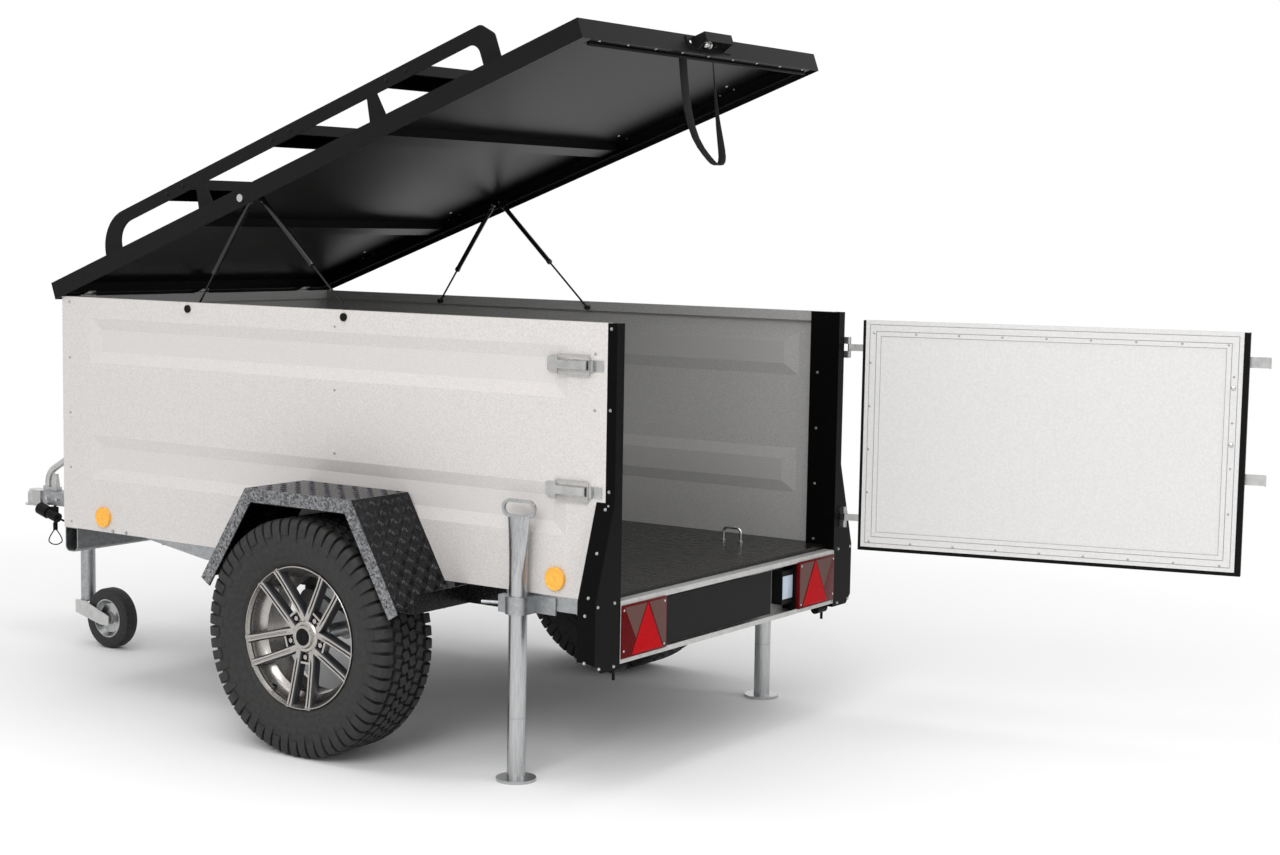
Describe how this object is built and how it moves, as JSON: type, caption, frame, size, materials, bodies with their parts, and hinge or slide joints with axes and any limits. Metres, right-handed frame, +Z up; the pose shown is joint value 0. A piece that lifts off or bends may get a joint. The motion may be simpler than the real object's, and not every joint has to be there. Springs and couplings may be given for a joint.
{
  "type": "off-road box trailer",
  "caption": "Small off-road box trailer with a lifting lid that carries a roof rack, a swinging rear door, prop stands and a jockey wheel.",
  "frame": {"origin": "centre of the towing ball in the coupling's socket", "axes": "+X forwards along the drawbar, +Y to the trailer's left, +Z up"},
  "size_m": [4.0769, 1.6827, 1.9434],
  "materials": {
    "aluzinc_sheet": "fine-grained coated sheet",
    "galvanised_steel": "hot-dip galvanised",
    "zinc_steel": "zinc plated",
    "black_powder_coat": "satin powder coat",
    "chequer_plate": "black coated aluminium chequer plate",
    "tyre_rubber": "moulded",
    "grey_alloy": "dark grey cast alloy with turned faces",
    "black_plywood": "phenolic film",
    "white_panel": "white coated sandwich board",
    "aluminium_frame": "anodised",
    "black_plastic": "moulded",
    "red_lens": "clear moulded",
    "amber_lens": "clear moulded",
    "black_webbing": "woven",
    "black_strut": "gloss",
    "polished_rod": "polished"
  },
  "bodies": {
    "root": {"axle_beam": "galvanised_steel", "cable_plug": "black_plastic", "chassis_frame": "galvanised_steel", "coupling_handle": "zinc_steel", "coupling_head": "zinc_steel", "door_hinge_pins": "zinc_steel", "drawbar": "galvanised_steel", "fender_stays": "chequer_plate", "fenders": "chequer_plate", "floor_board": "black_plywood", "front_member": "galvanised_steel", "front_wall": "aluzinc_sheet", "jockey_clamp": "galvanised_steel", "lamp_guards": "black_powder_coat", "lashing_rings": "zinc_steel", "lid_hinge_posts": "zinc_steel", "plug_cable": "black_plastic", "rear_posts": "black_powder_coat", "rear_sill": "galvanised_steel", "safety_loop": "black_plastic", "side_latches": "zinc_steel", "side_panel_left": "aluzinc_sheet", "side_panel_right": "aluzinc_sheet", "side_reflectors": "amber_lens", "sign_board": "black_plastic", "sill_buffers": "black_plastic", "stand_clamps": "galvanised_steel", "strut_wall_pins": "black_plastic", "tail_lamp_housings": "black_plastic", "tail_lamp_lenses": "red_lens"},
    "wheel_left": {"tyre_left": "tyre_rubber", "rim_left": "grey_alloy"},
    "wheel_right": {"tyre_right": "tyre_rubber", "rim_right": "grey_alloy"},
    "stand_left": {"prop_stand_left": "galvanised_steel"},
    "stand_right": {"prop_stand_right": "galvanised_steel"},
    "jockey_post": {"jockey_tube": "galvanised_steel"},
    "jockey_caster": {"jockey_fork": "zinc_steel"},
    "jockey_roller": {"jockey_wheel": "tyre_rubber"},
    "lid": {"lid_hinge_leaves": "zinc_steel", "lid_lock": "black_powder_coat", "lid_ribs": "black_powder_coat", "lid_shell": "black_powder_coat", "pull_strap": "black_webbing", "rack_crossbars": "black_powder_coat", "rack_rails": "black_powder_coat", "strut_lid_studs": "zinc_steel"},
    "door": {"door_frame": "aluminium_frame", "door_hinge_straps": "zinc_steel", "door_keepers": "zinc_steel", "door_panel": "white_panel", "door_trim": "black_powder_coat"},
    "front_strut_left": {"strut_front_left_cylinder": "black_strut"},
    "front_piston_left": {"strut_front_left_rod": "polished_rod"},
    "front_strut_right": {"strut_front_right_cylinder": "black_strut"},
    "front_piston_right": {"strut_front_right_rod": "polished_rod"},
    "rear_strut_left": {"strut_rear_left_cylinder": "black_strut"},
    "rear_piston_left": {"strut_rear_left_rod": "polished_rod"},
    "rear_strut_right": {"strut_rear_right_cylinder": "black_strut"},
    "rear_piston_right": {"strut_rear_right_rod": "polished_rod"}
  },
  "joints": [
    {"name": "wheel_left_spin", "type": "hinge", "parent": "root", "child": "wheel_left", "pos_m": [-1.995, 0.706, -0.1085], "axis": [0, 1, 0], "continuous": true},
    {"name": "wheel_right_spin", "type": "hinge", "parent": "root", "child": "wheel_right", "pos_m": [-1.995, -0.706, -0.1085], "axis": [0, 1, 0], "continuous": true},
    {"name": "stand_left_slide", "type": "slide", "parent": "root", "child": "stand_left", "axis": [0, 0, 1], "range_m": [0, 0.4]},
    {"name": "stand_right_slide", "type": "slide", "parent": "root", "child": "stand_right", "axis": [0, 0, 1], "range_m": [0, 0.4]},
    {"name": "jockey_slide", "type": "slide", "parent": "root", "child": "jockey_post", "axis": [0, 0, 1], "range_m": [0, 0.195]},
    {"name": "jockey_swivel", "type": "hinge", "parent": "jockey_post", "child": "jockey_caster", "pos_m": [-0.4, 0.12, -0.28], "axis": [0, 0, 1], "continuous": true},
    {"name": "jockey_spin", "type": "hinge", "parent": "jockey_caster", "child": "jockey_roller", "pos_m": [-0.516, 0.12, -0.33], "axis": [0, 1, 0], "continuous": true},
    {"name": "lid_hinge", "type": "hinge", "parent": "root", "child": "lid", "pos_m": [-0.8135, 0, 0.755], "axis": [0, 1, 0], "range_deg": [-20, 0]},
    {"name": "door_hinge", "type": "hinge", "parent": "root", "child": "door", "pos_m": [-2.88, -0.59, 0.153], "axis": [0, 0, 1], "range_deg": [-104, 76]},
    {"name": "front_strut_left_pivot", "type": "hinge", "parent": "lid", "child": "front_strut_left", "pos_m": [-1.584, 0.545, 1.05459], "axis": [0, 1, 0], "range_deg": [-27.97, 0]},
    {"name": "front_piston_left_slide", "type": "slide", "parent": "front_strut_left", "child": "front_piston_left", "axis": [0.5677, 0, -0.8232], "range_m": [-0.10849, 0]},
    {"name": "front_strut_right_pivot", "type": "hinge", "parent": "lid", "child": "front_strut_right", "pos_m": [-1.584, -0.545, 1.05459], "axis": [0, 1, 0], "range_deg": [-27.97, 0]},
    {"name": "front_piston_right_slide", "type": "slide", "parent": "front_strut_right", "child": "front_piston_right", "axis": [0.5677, 0, -0.8232], "range_m": [-0.10849, 0]},
    {"name": "rear_strut_left_pivot", "type": "hinge", "parent": "lid", "child": "rear_strut_left", "pos_m": [-1.61219, 0.545, 1.06486], "axis": [0, 1, 0], "range_deg": [0, 55.97]},
    {"name": "rear_piston_left_slide", "type": "slide", "parent": "rear_strut_left", "child": "rear_piston_left", "axis": [-0.7325, 0, -0.6807], "range_m": [-0.18453, 0]},
    {"name": "rear_strut_right_pivot", "type": "hinge", "parent": "lid", "child": "rear_strut_right", "pos_m": [-1.61219, -0.545, 1.06486], "axis": [0, 1, 0], "range_deg": [0, 55.97]},
    {"name": "rear_piston_right_slide", "type": "slide", "parent": "rear_strut_right", "child": "rear_piston_right", "axis": [-0.7325, 0, -0.6807], "range_m": [-0.18453, 0]}
  ],
  "couplings": [
    {"joint": "front_strut_left_pivot", "follows": "lid_hinge", "ratio": 1.3977},
    {"joint": "front_piston_left_slide", "follows": "lid_hinge", "m_per_rad": 0.31064},
    {"joint": "front_strut_right_pivot", "follows": "lid_hinge", "ratio": 1.3977},
    {"joint": "front_piston_right_slide", "follows": "lid_hinge", "m_per_rad": 0.31064},
    {"joint": "rear_strut_left_pivot", "follows": "lid_hinge", "ratio": -2.7971},
    {"joint": "rear_piston_left_slide", "follows": "lid_hinge", "m_per_rad": 0.52837},
    {"joint": "rear_strut_right_pivot", "follows": "lid_hinge", "ratio": -2.7971},
    {"joint": "rear_piston_right_slide", "follows": "lid_hinge", "m_per_rad": 0.52837}
  ]
}
